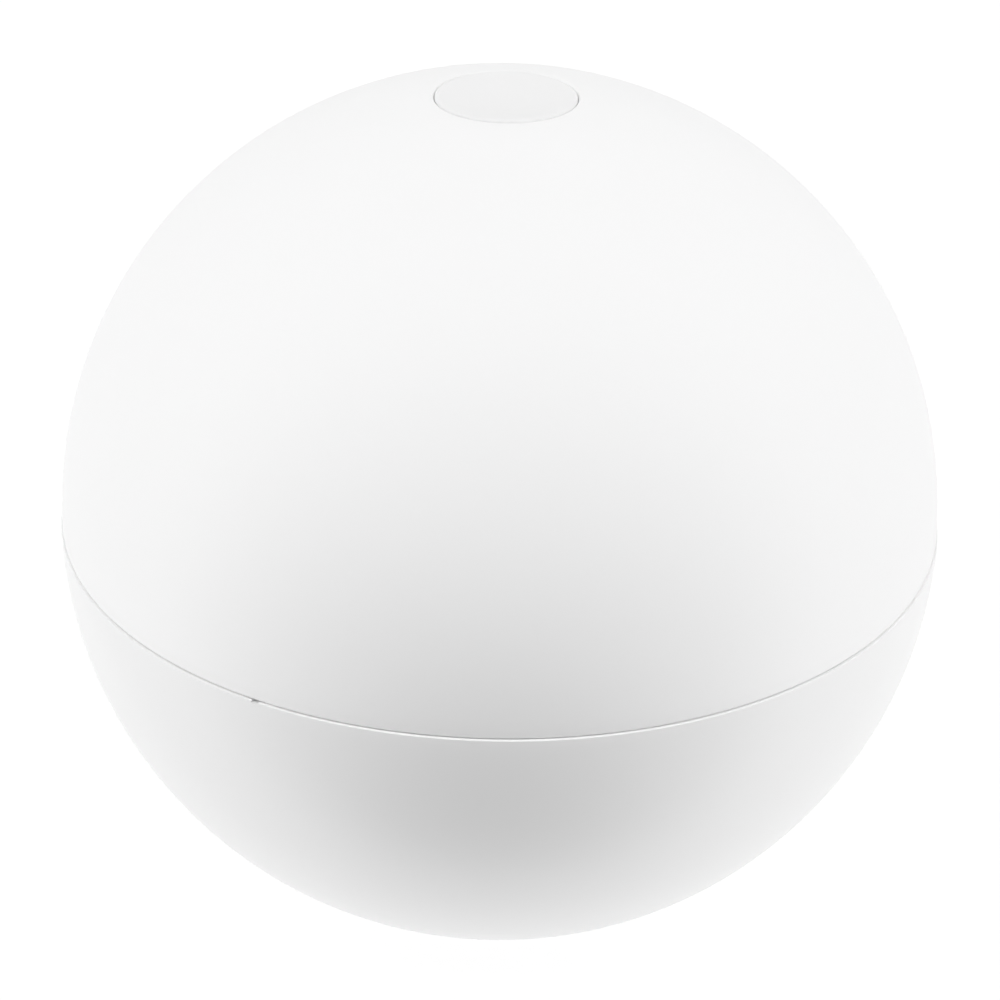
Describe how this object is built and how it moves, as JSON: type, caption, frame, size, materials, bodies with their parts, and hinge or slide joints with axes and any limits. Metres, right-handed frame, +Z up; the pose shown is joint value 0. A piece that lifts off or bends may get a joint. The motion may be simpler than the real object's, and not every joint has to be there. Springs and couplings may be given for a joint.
{
  "type": "garden globe light",
  "caption": "Cordless garden globe light: white lower shell with battery and charging port, opal dome that twists off, push button on top",
  "frame": {"origin": "on the ground under the middle of the globe, on the globe's upright axis", "axes": "+Z up along the globe's axis through the button; the pictured front looks along -Y, with +X to the right"},
  "size_m": [0.2, 0.2, 0.1804],
  "materials": {
    "base_white": "opaque white moulded plastic, satin",
    "dome_opal": "opal white diffuser plastic, fine matt",
    "button_white": "white moulded plastic, fine matt",
    "door_white": "white moulded plastic, satin",
    "reflector_white": "bright white reflector plastic, matt",
    "post_white": "white moulded plastic, matt",
    "foot_rubber": "grey rubber, matt",
    "seal_silicone": "grey silicone rubber, matt",
    "boot_silicone": "white silicone rubber, soft matt",
    "screw_steel": "zinc-plated steel",
    "clamp_steel": "bent sheet steel, plain",
    "nickel": "nickel strip",
    "socket_steel": "drawn steel shell",
    "cell_sleeve": null,
    "white_board": "circuit board with white solder mask",
    "green_board": "circuit board with green solder mask",
    "led_package": "white package with a yellowish lens",
    "switch_black": "black switch housing",
    "plunger_grey": "grey acetal, smooth",
    "holder_black": "black moulded plastic",
    "chip_black": "black moulded package",
    "coil_dark": "dark ferrite",
    "capacitor_can": "aluminium can",
    "connector_cream": "cream nylon",
    "lead_jacket": "black cable jacket"
  },
  "bodies": {
    "base": {"base_shell": "base_white", "rubber_feet": "foot_rubber", "deck_gasket": "seal_silicone", "lamp_deck": "reflector_white", "deck_screws": "screw_steel", "rim_seal": "seal_silicone", "led_board": "white_board", "led_chips": "led_package", "led_board_screws": "screw_steel", "switch_column": "post_white", "column_screws": "screw_steel", "switch_holder": "post_white", "switch_board": "green_board", "push_switch": "switch_black", "battery_holder": "holder_black", "battery_cell_front": "cell_sleeve", "battery_cell_rear": "cell_sleeve", "battery_tabs": "nickel", "battery_clamp": "clamp_steel", "battery_clamp_screws": "screw_steel", "control_board": "green_board", "control_board_screws": "screw_steel", "board_chips": "chip_black", "board_coil": "coil_dark", "board_capacitors": "capacitor_can", "board_connectors": "connector_cream", "charge_socket": "socket_steel", "port_gasket": "seal_silicone", "switch_lead": "lead_jacket", "led_lead": "lead_jacket", "battery_leads": "lead_jacket"},
    "dome": {"diffuser_dome": "dome_opal", "boot_retainer": "holder_black", "button_boot": "boot_silicone"},
    "button": {"button_cap": "button_white"},
    "switch_stem": {"switch_plunger": "plunger_grey"},
    "port_flap": {"port_door": "door_white"}
  },
  "joints": [
    {"name": "dome_twist", "type": "hinge", "parent": "base", "child": "dome", "pos_m": [0, 0, 0.08186], "axis": [0, 0, 1], "range_deg": [0, 24]},
    {"name": "button_press", "type": "slide", "parent": "dome", "child": "button", "axis": [0, 0, -1], "range_m": [0, 0.0015], "stiffness_N_per_m": 500, "springref_m": -0.002, "deforming": ["button_boot"]},
    {"name": "stem_press", "type": "slide", "parent": "base", "child": "switch_stem", "axis": [0, 0, -1], "range_m": [0, 0.0015]},
    {"name": "port_door_hinge", "type": "hinge", "parent": "base", "child": "port_flap", "pos_m": [-0.0107, -0.024, 0.0028], "axis": [0, 1, 0], "range_deg": [0, 100]}
  ],
  "couplings": [
    {"joint": "stem_press", "follows": "button_press", "ratio": 1}
  ]
}
